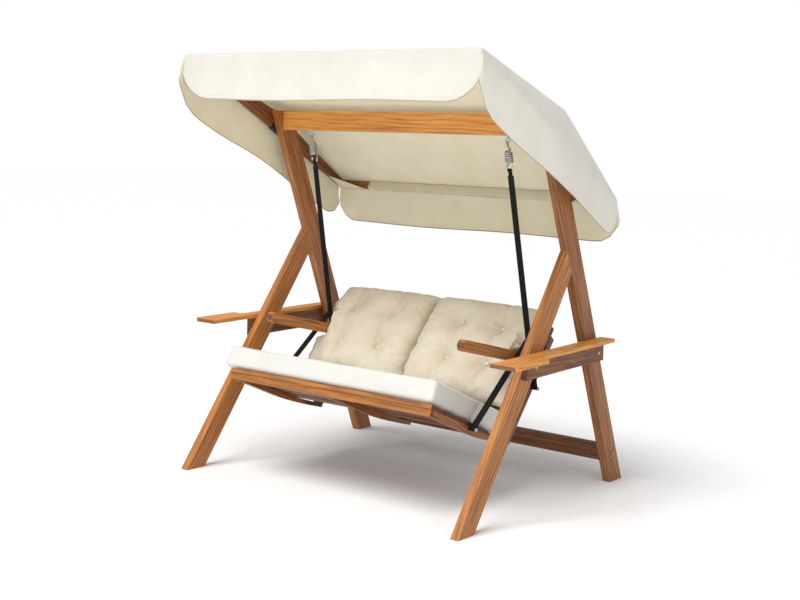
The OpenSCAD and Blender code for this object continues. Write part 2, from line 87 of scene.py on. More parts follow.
ahead = Vector((-math.sin(TURN) * math.cos(PITCH), math.cos(TURN) * math.cos(PITCH), -math.sin(PITCH)))
side = Vector((math.cos(TURN), math.sin(TURN), 0))
upward = side.cross(ahead)
right = math.cos(ROLL) * side + math.sin(ROLL) * upward
top = math.cos(ROLL) * upward - math.sin(ROLL) * side

lens = bpy.data.cameras.new("camera")
lens.sensor_width = SENSOR_MM
lens.lens = FOCUS * SENSOR_MM
lens.shift_x, lens.shift_y = SHIFT
camera = bpy.data.objects.new("camera", lens)
scene.collection.objects.link(camera)
axes = Matrix((right, top, -ahead)).transposed().to_4x4()
camera.matrix_world = Matrix.Translation(CAMERA_PLACE) @ axes
scene.camera = camera
print("lens", round(lens.lens, 1), "mm")

# %% [markdown]
# ## Helpers for materials
# Every finish below is a small graph of nodes. Colours are written as sRGB hex values,
# as a colour picker shows them, and Blender's sockets take linear light, so one
# function turns one into the other. One more function adds any node, sets it up and
# links it, so that each finish reads as a list of steps.

# %% Material helpers
def colour(code):
    """An sRGB hex colour as linear red, green, blue and alpha."""
    parts = [int(code[i:i + 2], 16) / 255 for i in (1, 3, 5)]
    return tuple(c / 12.92 if c <= 0.04045 else ((c + 0.055) / 1.055) ** 2.4 for c in parts) + (1.0,)


def new_material(name):
    """A material without nodes."""
    mat = bpy.data.materials.new(name)
    mat.use_nodes = True
    mat.node_tree.nodes.clear()
    return mat


def add(mat, kind, inputs=(), stops=(), **settings):
    """Adds a node, sets its properties, and fills or links its inputs."""
    node = mat.node_tree.nodes.new("ShaderNode" + kind)
    for key, value in settings.items():
        setattr(node, key, value)
    for key, value in dict(inputs).items():
        socket = node.inputs[key]
        if isinstance(value, bpy.types.NodeSocket):
            mat.node_tree.links.new(value, socket)
        else:
            socket.default_value = value
    if stops:
        ramp = node.color_ramp.elements
        while len(ramp) < len(stops):
            ramp.new(0.5)
        for element, (place, code) in zip(ramp, stops):
            element.position = place
            element.color = colour(code)
    return node.outputs


# %% [markdown]
# ## Oiled pine
# The frame is planed softwood with a teak-coloured oil. What the eye gets is grain:
# pale early wood and darker late wood in lines that run the length of each board, a
# few small knots, and darker sawn ends that drink more oil. Noise that is stretched
# along the board gives the streaks, a distorted wave gives the growth rings, and a
# sparse Voronoi pattern gives the knots. The pattern lives in the object's own
# coordinates, turned so that Y runs along the board, so no unwrapping is needed.

# %% Pine
RING_MM = 13  # growth rings are 3 to 6 mm apart, and drawn wider here so that they show
STREAK_MM = 6
KNOT_EVERY_M = 0.33


def pine(name, turn, pale, mid, dark, sawn="#4A2814"):
    """Pine whose grain follows the direction that turn brings onto Y."""
    mat = new_material(name)
    place = add(mat, "TexCoord")
    each = add(mat, "ObjectInfo")
    turned = add(mat, "Mapping", {"Vector": place["Object"], "Rotation": turn})["Vector"]
    own = add(mat, "VectorMath", {0: each["Random"], 1: (3.1, 17.0, 5.3)}, operation="MULTIPLY")["Vector"]
    board = add(mat, "VectorMath", {0: turned, 1: own}, operation="ADD")["Vector"]
    long = add(mat, "Mapping", {"Vector": board, "Scale": (1, 0.035, 1)})["Vector"]
    slow = add(mat, "Mapping", {"Vector": board, "Scale": (1, 0.16, 1)})["Vector"]
    streaks = add(mat, "TexNoise", {"Vector": long, "Scale": 1000 / STREAK_MM / 2, "Detail": 6.0,
                                    "Roughness": 0.62})["Fac"]
    wander = add(mat, "TexNoise", {"Vector": slow, "Scale": 9.0, "Detail": 2.0})["Color"]
    bent = add(mat, "MixRGB", {"Fac": 0.06, "Color1": long, "Color2": wander}, blend_type="ADD")["Color"]
    rings = add(mat, "TexWave", {"Vector": bent, "Scale": 314 / RING_MM, "Distortion": 1.3, "Detail": 2.0,
                                 "Detail Scale": 1.4}, bands_direction="DIAGONAL")["Fac"]
    patches = add(mat, "TexNoise", {"Vector": slow, "Scale": 5.0, "Detail": 3.0})["Fac"]
    line = add(mat, "Math", {0: rings, 1: 0.13}, operation="MULTIPLY")["Value"]
    line = add(mat, "Math", {0: streaks, 1: 0.95, 2: line}, operation="MULTIPLY_ADD")["Value"]
    line = add(mat, "Math", {0: patches, 1: 0.35, 2: line}, operation="MULTIPLY_ADD")["Value"]
    wood = add(mat, "ValToRGB", {"Fac": line},
               stops=((0.41, pale), (0.70, mid), (0.96, dark)))["Color"]
    # Knots: one cell in a few has one, longer along the board than across it
    spots = add(mat, "Mapping", {"Vector": board, "Scale": (1.6, 1.0, 1.6)})["Vector"]
    cells = add(mat, "TexVoronoi", {"Vector": spots, "Scale": 1 / KNOT_EVERY_M})
    rare = add(mat, "Math", {0: cells["Color"], 1: 0.34}, operation="LESS_THAN")["Value"]
    wobble = add(mat, "Math", {0: streaks, 1: 0.05, 2: cells["Distance"]}, operation="MULTIPLY_ADD")["Value"]
    knot = add(mat, "MapRange", {"Value": wobble, "From Min": 0.055, "From Max": 0.105, "To Min": 0.9,
                                 "To Max": 0.0})["Result"]
    knot = add(mat, "Math", {0: knot, 1: rare}, operation="MULTIPLY")["Value"]
    wood = add(mat, "MixRGB", {"Fac": knot, "Color1": wood, "Color2": colour("#4B2813")})["Color"]
    # Sawn ends face along the grain
    facing = add(mat, "Mapping", {"Vector": place["Normal"], "Rotation": turn})["Vector"]
    facing = add(mat, "SeparateXYZ", {"Vector": facing})["Y"]
    facing = add(mat, "Math", {0: facing}, operation="ABSOLUTE")["Value"]
    end = add(mat, "MapRange", {"Value": facing, "From Min": 0.8, "From Max": 0.9, "To Max": 0.75})["Result"]
    wood = add(mat, "MixRGB", {"Fac": end, "Color1": wood, "Color2": colour(sawn)})["Color"]
    # Each board came from another tree
    tone = add(mat, "MapRange", {"Value": each["Random"], "To Min": 0.86, "To Max": 1.12})["Result"]
    wood = add(mat, "HueSaturation", {"Color": wood, "Value": tone})["Color"]
    rough = add(mat, "MapRange", {"Value": streaks, "To Min": 0.38, "To Max": 0.62})["Result"]
    relief = add(mat, "Bump", {"Height": line, "Strength": 0.35, "Distance": 0.002})["Normal"]
    skin = add(mat, "BsdfPrincipled", {"Base Color": wood, "Roughness": rough, "Normal": relief,
                                       "IOR": 1.5})["BSDF"]
    add(mat, "OutputMaterial", {"Surface": skin})
    return mat


ALONG_X = (0, 0, math.radians(90))
LEG_DEG = 55  # the front legs' rise above +Y
POST_DEG = 113.6
SEAT_DEG = 21.8  # the seat's slope, from level
BACK_DEG = 39.9  # the backrest's lean, from upright
ARM_DEG = 12.1
CANOPY_DEG = 27.4
TABLE_DEG = 1.4


def leaning(degrees):
    """Brings a board that rises at this angle above +Y onto Y."""
    return (math.radians(-degrees), 0, 0)


# Early wood, middle and late wood, from the palest board to the darkest. The sets are partly
# the boards' own tones and partly painted light and shade: the stretcher, the slats under
# the pad, the back slats and rails behind the pillows, the table aprons and the canopy's
# rails and rear bar sit in shade and get the darkest set, and the top beam and the table
# tops face the light and get the palest.
PALE = ("#E6A553", "#D08B3F", "#9C6228")
LIGHT = ("#CF8C49", "#AB6C31", "#6E401B")
MIDDLE = ("#BE7F47", "#935A2A", "#573214")
DARK = ("#A26735", "#74421E", "#40220F")
BOARDS = {
    "leg": (leaning(LEG_DEG), LIGHT, ["front_leg_"]),
    "post": (leaning(POST_DEG), MIDDLE, ["rear_post_"]),
    "beam": (ALONG_X, PALE, ["top_beam"]),
    "cross": (ALONG_X, LIGHT, ["seat_fascia", "canopy_front_bar"]),
    "cross_dark": (ALONG_X, DARK, ["rear_stretcher", "back_slat_", "canopy_rear_bar"]),
    # The seat slats' near-black sawn ends are end grain, darkened further as painted shade under the pad.
    "slat": (ALONG_X, (*DARK, "#1C0E07"), ["seat_slat_"]),
    "first_slat": (ALONG_X, (*LIGHT, "#2A160B"), ["seat_slat_1"]),
    "table": (leaning(-TABLE_DEG), PALE, ["table_top_"]),
    "apron": (leaning(-TABLE_DEG), DARK, ["table_apron_"]),
    "seat_rail": (leaning(-SEAT_DEG), MIDDLE, ["seat_rail_"]),
    "back_rail": (leaning(90 - BACK_DEG), DARK, ["back_rail_"]),
    "arm": (leaning(-ARM_DEG), LIGHT, ["armrest_"]),
    "canopy_rail": (leaning(-CANOPY_DEG), DARK, ["canopy_rail_"]),
}


def finish(node, mat):
    """Puts one material on a node of the frame or a new piece."""
    node.data.materials.clear()
    node.data.materials.append(mat)


for board, (turn, tones, starts) in BOARDS.items():
    mat = pine("oiled pine " + board, turn, *tones)
    for name, node in nodes.items():
        if any(name.startswith(start) for start in starts):
            finish(node, mat)
print(len(BOARDS), "pine finishes")

# %% [markdown]
# ## Metal
# Bolts, eyes and springs are zinc-plated steel: a metal with a soft, slightly uneven
# shine from the plating. The canopy's saddles are powder coated black and the bench's
# corner plates brown, which is a plastic skin over the steel, so neither is metallic to
# the eye.

# %% Steel
ZINC_CLOUDS_PER_M = 60.0  # patches of the plating, about 17 mm apart


def steel(name, pale, dull, low, high):
    """Plated steel, between two tones and with a roughness from low to high."""
    mat = new_material(name)
    place = add(mat, "TexCoord")["Object"]
    cloud = add(mat, "TexNoise", {"Vector": place, "Scale": ZINC_CLOUDS_PER_M, "Detail": 4.0})["Fac"]
    tint = add(mat, "ValToRGB", {"Fac": cloud}, stops=((0.35, dull), (0.7, pale)))["Color"]
    rough = add(mat, "MapRange", {"Value": cloud, "To Min": low, "To Max": high})["Result"]
    skin = add(mat, "BsdfPrincipled", {"Base Color": tint, "Metallic": 1.0, "Roughness": rough})["BSDF"]
    add(mat, "OutputMaterial", {"Surface": skin})
    return mat


zinc = steel("zinc-plated steel", "#D9DADB", "#A9ABAE", 0.22, 0.42)
PLATED = ("frame_bolts", "apron_bolts", "eye_bolts", "strap_bolts", "bench_screws", "arm_bolts",
          "canopy_screws", "canopy_pivot_bolts")
for name in PLATED:
    finish(nodes[name], zinc)
print("zinc on", len(PLATED), "nodes")

# %% Powder coat
GRIT_PER_M = 900.0  # the coat's grit is finer than 1 mm, and drawn this coarse so that it shows


def powder_coat(name, low, high):
    """A baked coat of plastic powder, between two tones."""
    mat = new_material(name)
    place = add(mat, "TexCoord")["Object"]
    grit = add(mat, "TexNoise", {"Vector": place, "Scale": GRIT_PER_M, "Detail": 1.0})["Fac"]
    relief = add(mat, "Bump", {"Height": grit, "Strength": 0.2, "Distance": 0.0003})["Normal"]
    worn = add(mat, "ValToRGB", {"Fac": grit}, stops=((0.3, low), (0.8, high)))["Color"]
    skin = add(mat, "BsdfPrincipled", {"Base Color": worn, "Roughness": 0.45, "Normal": relief,
                                       "IOR": 1.5})["BSDF"]
    add(mat, "OutputMaterial", {"Surface": skin})
    return mat


finish(nodes["canopy_saddles"], powder_coat("black powder coat", "#141414", "#232324"))
finish(nodes["corner_plates"], powder_coat("brown powder coat", "#3A2012", "#4A2B19"))
print("two powder coats")

# %% [markdown]
# ## Cloth
# The pads and the canopy are plain woven polyester canvas. Its threads are under a
# millimetre, far too fine to show from seven metres, so the weave is drawn as a
# faint relief of crossing threads 3 mm apart, with a slow unevenness of tone as real
# canvas has. A little sheen makes the cloth paler where it turns away. The canopy is a
# single layer, so light passes through it: part of its surface is translucent. Its hem
# is folded over and stitched, with a narrow darker tape on the edge. The mesh carries
# the distance from the hem, and the material draws the fold, the seam and the tape.

# %% Canvas
THREAD_MM = 3.0
UNEVEN_PER_M = 7.0  # paler and darker patches of the dye, about 14 cm apart
BINDING = 0.006  # width of the darker tape round the canopy's edge
FOLD_WIDTH = 0.022  # width of the folded hem, up to its seam
SEAM_HALF = 0.0025


def canvas(name, pale, shade, turn=(0, 0, 0), sheen=0.25, hem=None, bound=None, through=0):
    """Woven canvas; hem names a mesh attribute with the distance from the hem in metres.

    A single layer with light on one side shows some of it on the other: through.
    """
    mat = new_material(name)
    place = add(mat, "TexCoord")["Object"]
    turned = add(mat, "Mapping", {"Vector": place, "Rotation": turn})["Vector"]
    waves = [add(mat, "TexWave", {"Vector": turned, "Scale": 314 / THREAD_MM, "Distortion": 0.6},
                 bands_direction=axis)["Fac"] for axis in "XYZ"]
    weave = add(mat, "Math", {0: waves[0], 1: waves[1]}, operation="MULTIPLY")["Value"]
    weave = add(mat, "Math", {0: weave, 1: waves[2]}, operation="ADD")["Value"]
    cloud = add(mat, "TexNoise", {"Vector": place, "Scale": UNEVEN_PER_M, "Detail": 5.0,
                                   "Roughness": 0.55})["Fac"]
    tint = add(mat, "ValToRGB", {"Fac": cloud}, stops=((0.3, shade), (0.65, pale)))["Color"]
    height = add(mat, "Math", {0: cloud, 1: 2.0, 2: weave}, operation="MULTIPLY_ADD")["Value"]
    if hem:
        away = add(mat, "Attribute", attribute_name=hem)["Fac"]
        seam = add(mat, "Math", {0: away, 1: FOLD_WIDTH, 2: SEAM_HALF}, operation="COMPARE")["Value"]
        fold = add(mat, "Math", {0: away, 1: FOLD_WIDTH}, operation="LESS_THAN")["Value"]
        height = add(mat, "Math", {0: fold, 1: 1.5, 2: height}, operation="MULTIPLY_ADD")["Value"]
        height = add(mat, "Math", {0: seam, 1: -1.5, 2: height}, operation="MULTIPLY_ADD")["Value"]
        drawn = add(mat, "Math", {0: seam, 1: 0.35}, operation="MULTIPLY")["Value"]
        tint = add(mat, "MixRGB", {"Fac": drawn, "Color1": tint, "Color2": colour(shade)},
                   blend_type="MULTIPLY")["Color"]
        binding = add(mat, "Math", {0: away, 1: BINDING}, operation="LESS_THAN")["Value"]
        tint = add(mat, "MixRGB", {"Fac": binding, "Color1": tint, "Color2": colour(bound)})["Color"]
    relief = add(mat, "Bump", {"Height": height, "Strength": 0.22, "Distance": 0.0012})["Normal"]
    skin = add(mat, "BsdfPrincipled", {"Base Color": tint, "Roughness": 0.9, "Sheen Weight": sheen,
                                       "Sheen Roughness": 0.5, "Normal": relief, "IOR": 1.45})["BSDF"]
    if through:
        glow = add(mat, "BsdfTranslucent", {"Color": tint, "Normal": relief})["BSDF"]
        skin = add(mat, "MixShader", {0: through, 1: skin, 2: glow})["Shader"]
    add(mat, "OutputMaterial", {"Surface": skin})
    return mat


THROUGH = 0.4  # share of the canopy cloth that is translucent
roof_cloth = canvas("canopy canvas, outside", "#F6F6F3", "#F3F2EE", hem="hem", bound="#D8D0BA",
                    through=THROUGH)
lining_cloth = canvas("canopy canvas, inside", "#F6F0DA", "#F1E9CF", hem="hem", bound="#B3A27E",
                      through=THROUGH)
sleeve_cloth = canvas("canopy canvas, sleeves", "#F6F0DA", "#F1E9CF", through=THROUGH)
seat_cloth = canvas("seat canvas", "#D6D6D0", "#D1D0C8", turn=leaning(-SEAT_DEG))
back_cloth = canvas("back canvas", "#EFE6D4", "#E4D9C2", turn=leaning(-BACK_DEG))
# The buttons are covered with the pillow's canvas, drawn paler here as painted light on their domes.
button_cloth = canvas("button canvas", "#FBF8EE", "#F3EDDD")
print("canvas finishes made")

# %% [markdown]
# ## Webbing
# The straps are woven polypropylene webbing: black, hardly glossy threads that cross in
# ribs. Two waves at right angles, multiplied, give the relief of the weave. The real
# ribs are about 1.5 mm apart, and they are drawn at 4 mm so that they show.

# %% Webbing
RIB_MM = 4.0
WEBBED = ("strap_left", "strap_right", "front_strand_left", "front_strand_right")
webbing = new_material("black webbing")
place = add(webbing, "TexCoord")["Object"]
ribs = add(webbing, "TexWave", {"Vector": place, "Scale": 314 / RIB_MM, "Distortion": 0.4},
           bands_direction="Z")["Fac"]
threads = add(webbing, "TexWave", {"Vector": place, "Scale": 314 / RIB_MM, "Distortion": 0.4},
              bands_direction="X")["Fac"]
weave = add(webbing, "Math", {0: ribs, 1: threads}, operation="MULTIPLY")["Value"]
tint = add(webbing, "ValToRGB", {"Fac": weave}, stops=((0.2, "#040405"), (0.9, "#101012")))["Color"]
relief = add(webbing, "Bump", {"Height": weave, "Strength": 0.5, "Distance": 0.001})["Normal"]
skin = add(webbing, "BsdfPrincipled", {"Base Color": tint, "Roughness": 0.75, "Normal": relief,
                                       "Specular IOR Level": 0.3, "IOR": 1.5})["BSDF"]
add(webbing, "OutputMaterial", {"Surface": skin})
for name in WEBBED:
    finish(nodes[name], webbing)
print("webbing on", len(WEBBED), "nodes")

# %% [markdown]
# ## Helpers for shapes
# Every soft piece is a mesh made from a list of points and a list of faces. Several of
# them lean with the bench or the canopy. Their shapes are easier to think about along
# the piece's own axes, so these helpers read and write points in a leaning frame.

# %% Mesh helpers
SEAT_LEAN = Matrix.Rotation(math.radians(-SEAT_DEG), 3, "X")
BACK_LEAN = Matrix.Rotation(math.radians(-BACK_DEG), 3, "X")
BAR_LEAN = Matrix.Rotation(math.radians(-CANOPY_DEG), 3, "X")


def own_points(obj, lean):
    """An object's points, along the axes of its leaning frame."""
    return np.array([lean.transposed() @ v.co for v in obj.data.vertices])


def own_box(node, lean):
    """The lowest and highest corner of a node along the axes of its leaning frame."""
    turned = own_points(nodes[node], lean)
    return turned.min(0), turned.max(0)


def put_points(obj, shape, lean):
    """Gives an object new points, which are in its leaning frame."""
    obj.data.vertices.foreach_set("co", np.array([lean @ Vector(p) for p in shape]).ravel())


def thicken(obj, thickness):
    """Turns a surface into cloth of this thickness."""
    cloth = obj.modifiers.new("cloth", "SOLIDIFY")
    cloth.thickness = thickness
    cloth.offset = 0
    return cloth


def make(name, points, faces, mats=(), smooth=True):
    """A mesh object in the scene, with its materials."""
    mesh = bpy.data.meshes.new(name)
    mesh.from_pydata([tuple(p) for p in points], [], faces)
    mesh.validate()
    obj = bpy.data.objects.new(name, mesh)
    scene.collection.objects.link(obj)
    for mat in mats:
        mesh.materials.append(mat)
    if smooth:
        mesh.shade_smooth()
    return obj


# %% [markdown]
# ## The canopy
# The cover is one piece of canvas that lies over the two rails and two crossbars and
# hangs down as a flap on each side. The flaps are open at the corners, and their lower
# corners are cut round. It is made here as one mesh: a grid for the roof, and four
# grids that share the roof's edge points, so that the cloth runs on without a gap. The
# rows lie close together at the folds, which keeps them crisp. A Solidify modifier gives
# the cloth its thickness, and a second material for the inside.

# %% Canopy cloth
CLOTH_T = 0.0016
FOLD_M = 0.007
FRONT_ROUND = (0.19, 0.165)  # reach along the hem, and rise, of the front flap's corners
SIDE_ROUND = (0.13, 0.12)
REAR_ROUND = (0.12, 0.13)
RAIL_GAP = 0.003  # the flaps start this far inside the roof's edge

roof_points = sorted({(round(v.co.y, 4), round(v.co.z, 4)) for v in nodes["canopy_roof"].data.vertices})
depths = sorted({y for y, z in roof_points})
heights = [max(z for y, z in roof_points if abs(y - at) < 0.003) for at in depths]
ridge = [Vector((0, y, z - 0.001)) for y, z in zip(depths, heights)]
roof_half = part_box("canopy_roof")[1].x - RAIL_GAP
print("roof line", [tuple(round(c, 3) for c in p) for p in ridge])


def between(a, b, count, lead):
    """Steps from a to b, with one short step at each end."""
    inner = [a.lerp(b, k / count) for k in range(1, count)]
    step = (b - a).normalized() * lead
    return [a, a + step] + inner + [b - step]


line = between(ridge[0], ridge[1], 16, FOLD_M) + between(ridge[1], ridge[2], 15, FOLD_M) + [ridge[2]]
across = [-roof_half, -roof_half + FOLD_M] + [roof_half * (k / 20 - 1) for k in range(1, 40)]
across += [roof_half - FOLD_M, roof_half]
points, faces, hem_away = [], [], []


def put(point, away):
    """Adds a point of the canopy with its distance from the hem."""
    points.append(Vector(point))
    hem_away.append(away)
    return len(points) - 1


def quads(rows):
    """Fills the space between neighbouring rows with faces."""
    for a, b in zip(rows, rows[1:]):
        for k in range(len(a) - 1):
            faces.append((b[k], b[k + 1], a[k + 1], a[k]))


def roof_at(x, p):
    """A point of the roof: slightly slack between the rails and between the bars."""
    slack = (1 - (x / roof_half) ** 2) * 0.010
    if p.y < ridge[1].y:
        t = (p.y - ridge[0].y) / (ridge[1].y - ridge[0].y)
    else:
        t = (p.y - ridge[1].y) / (ridge[2].y - ridge[1].y)
    drop = slack * 4 * t * (1 - t) * 1.4
    ripple = 0.0025 * noise.noise(Vector((x * 3.0, p.y * 3.0, 1.7))) * min(1, 6 * t * (1 - t))
    return Vector((x, p.y, p.z - drop + ripple))


grid = [[put(roof_at(x, p), 1.0) for x in across] for p in line]
quads(grid[::-1])


def corner(t, reach, rise, power=1.7):
    """How far the hem rises at a distance t from a rounded corner."""
    if t >= reach:
        return 0.0
    return rise * (1 - (1 - (1 - t / reach) ** power) ** (1 / power))


# Rows of a flap, from its fold to its hem, closer together at both ends
FLAP_ROWS = 15
SHARES = sorted({FOLD_M / 0.25, *(k / FLAP_ROWS for k in range(1, FLAP_ROWS)), 0.93, 0.965, 1.0})


def flap(edge, drops, move, flip=False):
    """Hangs cloth from an edge. drops holds each column's length, and move shapes it."""
    rows = [edge]
    for share in SHARES:
        row = []
        for k, v in enumerate(edge):
            drop = drops[k] * share
            row.append(put(points[v] + move(points[v], share, drop), drops[k] * (1 - share)))
        rows.append(row)
    quads([r[::-1] for r in rows] if flip else rows)


side_hem = sorted({(round(v.co.y, 4), round(v.co.z, 4)) for v in nodes["valance_right"].data.vertices})
roof_z = [np.interp(y, [p.y for p in ridge], [p.z for p in ridge]) for y, z in side_hem]
hem_line = [(y, z) for (y, z), top_z in zip(side_hem, roof_z) if z < top_z - 0.1]
front_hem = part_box("valance_front")[0].z
rear_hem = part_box("valance_rear")[0].z
print("side hem", hem_line)


def side_drop(p):
    """Length of a side flap below a point of the roof's edge."""
    hem = np.interp(p.y, [h[0] for h in hem_line], [h[1] for h in hem_line])
    ends = min(p.y - ridge[0].y, ridge[2].y - p.y)
    wave = 0.008 * math.sin(p.y * 9.0 + 0.8)
    return p.z - hem - corner(ends, *SIDE_ROUND) + wave


SLACK = 0.003  # the cloth stands this far off the boards
PUFF = 0.016
RIPPLE = 0.010
FRONT_SWING, REAR_SWING = 0.046, 0.012  # how far a side flap's lower corners swing outward


def side_move(sign):
    """Shapes a side flap: it puffs out, and its corners swing forward and back."""
    def move(p, share, drop):
        puff = PUFF * math.sin(share * math.pi * 0.75) + RIPPLE * share * math.sin(p.y * 7.5 + sign)
        out = SLACK * min(1, share * 8) + puff
        ahead = -FRONT_SWING * share * max(0, 1 - (p.y - ridge[0].y) / 0.35) ** 2
        behind = REAR_SWING * share * max(0, 1 - (ridge[2].y - p.y) / 0.3) ** 2
        return Vector((sign * out, ahead + behind, -drop))
    return move


def end_move(sign, hang):
    """Shapes the front or rear flap: it hangs outward and spreads towards its corners."""
    def move(p, share, drop):
        out = SLACK * min(1, share * 8) + hang * share + 0.006 * share * math.sin(p.x * 6.0 + sign)
        spread = 0.022 * share * (p.x / roof_half) ** 5
        return Vector((spread, sign * out, -drop))
    return move


left_edge = [row[0] for row in grid]
right_edge = [row[-1] for row in grid]
flap(left_edge, [side_drop(points[v]) for v in left_edge], side_move(-1), flip=True)
flap(right_edge, [side_drop(points[v]) for v in right_edge], side_move(1))
for edge, hem, rounding, sign in ((grid[0], front_hem, FRONT_ROUND, -1),
                                  (grid[-1], rear_hem, REAR_ROUND, 1)):
    drops = [points[v].z - hem - corner(roof_half - abs(points[v].x), *rounding)
             - 0.004 * math.sin(points[v].x * 5) for v in edge]
    flap(edge, drops, end_move(sign, 0.010 if sign < 0 else 0.012), flip=sign > 0)

cover = make("canopy_cover", points, faces, (roof_cloth, lining_cloth))
away = cover.data.attributes.new("hem", "FLOAT", "POINT")
away.data.foreach_set("value", hem_away)
lining = thicken(cover, CLOTH_T)
lining.material_offset = 1
lining.material_offset_rim = 1
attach(cover, "canopy")
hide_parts("canopy_roof", "valance_front", "valance_rear", "valance_left", "valance_right")
print("canopy cover:", len(points), "points")

# %% [markdown]
# ## Bar sleeves and corner pockets
# The cover is held to its crossbars by sleeves: strips of the same canvas sewn into a
# tunnel that the bar slides through. At each rear corner a small three-cornered pocket
# catches the end of the rail. A sleeve is a thin strip wrapped round the bar's section,
# a little slack, and a pocket is a slightly hollow triangle.

# %% Sleeves
SLEEVE_END = 0.725
SLEEVE_GAP = 0.0035
SLEEVE_ROUND = 0.006
SLEEVE_STEPS = 60
SLEEVE_T = 0.001


def section(low, high, soft):
    """A rectangle with round corners, as points round a bar."""
    ring = []
    for cy, cz, start in ((high[0] - soft, high[1] - soft, 0), (low[0] + soft, high[1] - soft, 90),
                          (low[0] + soft, low[1] + soft, 180), (high[0] - soft, low[1] + soft, 270)):
        for k in range(4):
            a = math.radians(start + 30 * k)
            ring.append((cy + soft * math.cos(a), cz + soft * math.sin(a)))
    return ring


for bar, name in (("canopy_rear_bar", "rear_sleeve"), ("canopy_front_bar", "front_sleeve")):
    low, high = own_box(bar, BAR_LEAN)
    low, high = low[1:] - SLEEVE_GAP, high[1:] + SLEEVE_GAP
    ring, steps = section(low, high, SLEEVE_ROUND), SLEEVE_STEPS
    pts, quad_list = [], []
    for i in range(steps + 1):
        x = SLEEVE_END * (2 * i / steps - 1)
        for y, z in ring:
            loose = 0.0022 * noise.noise(Vector((x * 9, y * 30, z * 30)))
            sag = abs(loose) * (1 if z < high[1] - 0.02 else -0.2)
            pts.append(BAR_LEAN @ Vector((x, y + loose, z - sag)))
    count = len(ring)
    for i in range(steps):
        for k in range(count):
            a, b = i * count + k, i * count + (k + 1) % count
            quad_list.append((a, b, b + count, a + count))
    sleeve = make(name, pts, quad_list, (sleeve_cloth,))
    thicken(sleeve, SLEEVE_T)
    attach(sleeve, "canopy")
print("two sleeves of", 2 * SLEEVE_END, "m")

# %% Corner pockets
POCKET_FORE = 0.17
POCKET_IN = 0.20
POCKET_STEPS = 8
for side_name, sign in (("left", -1), ("right", 1)):
    rail_low, rail_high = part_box("canopy_rail_" + side_name)
    inner = abs(rail_high.x if sign < 0 else rail_low.x)
    low, high = own_box("canopy_rear_bar", BAR_LEAN)
    foot = low[2] - 0.006
    heel = Vector((sign * (inner - 0.003), high[1] - 0.004, foot))
    fore = heel + Vector((0, -POCKET_FORE, 0.004))
    inboard = heel + Vector((-sign * POCKET_IN, -0.012, 0))
    pts, quad_list, rows = [], [], []
    for i in range(POCKET_STEPS + 1):
        row = []
        for j in range(i + 1):
            a, b = i / POCKET_STEPS, (j / i if i else 0)
            p = heel.lerp(fore, a).lerp(heel.lerp(inboard, a), b)
            hollow = 0.010 * math.sin(math.pi * a) * math.sin(math.pi * b)
            row.append(len(pts))
            pts.append(BAR_LEAN @ (p - Vector((0, 0, hollow))))
        rows.append(row)
    for a, b in zip(rows, rows[1:]):
        for k in range(len(b) - 1):
            quad_list.append((a[k], b[k], b[k + 1]))
            if k < len(a) - 1:
                quad_list.append((a[k], b[k + 1], a[k + 1]))
    pocket = make("corner_pocket_" + side_name, pts, quad_list, (sleeve_cloth,))
    thicken(pocket, SLEEVE_T)
    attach(pocket, "canopy")
print("two pockets")

# %% [markdown]
# ## Seat pad
# A box cushion: foam in a sewn cover with a straight border all round, slightly
# crowned on top. It starts as a rounded box a little smaller than the real one, and
# Blender's cloth then swells it under pressure. Real foam holds its cover in, and the
# simulation has no foam: left alone, it swells by more than 20 cm. So each point's move
# is cut short at 14 mm, which keeps the swelling's direction and little of its amount.
# Most of the shape is the start shape's. The pad lies to the left, so its front left
# corner reaches past the bench, and its lower edge lifts a little off the slats.

# %% Swelling
SIM_STEPS = 20
PAD_CAP, PILLOW_CAP = 0.014, 0.026


def inflate(obj, pressure, cap, pinned=(), shrink=0.0):
    """Swells a closed mesh as cloth under pressure, and cuts each point's move to cap."""
    start = np.array([v.co for v in obj.data.vertices])
    sim = obj.modifiers.new("sim", "CLOTH")
    cloth = sim.settings
    cloth.quality = 5
    cloth.mass = 0.3
    cloth.tension_stiffness = cloth.compression_stiffness = 12
    cloth.shear_stiffness = 4
    cloth.bending_stiffness = 0.6
    cloth.use_pressure = True
    cloth.uniform_pressure_force = pressure
    cloth.effector_weights.gravity = 0
    cloth.shrink_min = shrink
    sim.collision_settings.use_collision = False
    if len(pinned):
        group = obj.vertex_groups.new(name="pins")
        group.add([int(k) for k in pinned], 1.0, "REPLACE")
        cloth.vertex_group_mass = "pins"
    sim.point_cache.frame_start, sim.point_cache.frame_end = 1, SIM_STEPS
    for step in range(1, SIM_STEPS + 1):
        scene.frame_set(step)
    with bpy.context.temp_override(object=obj, active_object=obj, selected_objects=[obj]):
        bpy.ops.object.modifier_apply(modifier="sim")
    end = np.array([v.co for v in obj.data.vertices])
    moved = end - start
    size = np.linalg.norm(moved, axis=1, keepdims=True)
    print(obj.name, "swelled by up to", round(float(size.max()) * 1000), "mm")
    end = start + moved * np.minimum(1, cap / np.maximum(size, 1e-9))
    obj.data.vertices.foreach_set("co", end.ravel())
    scene.frame_set(1)


# %% A rounded box
PAD_STEP = 0.015
PAD_EDGE = 0.018  # radius of the start shape's edges


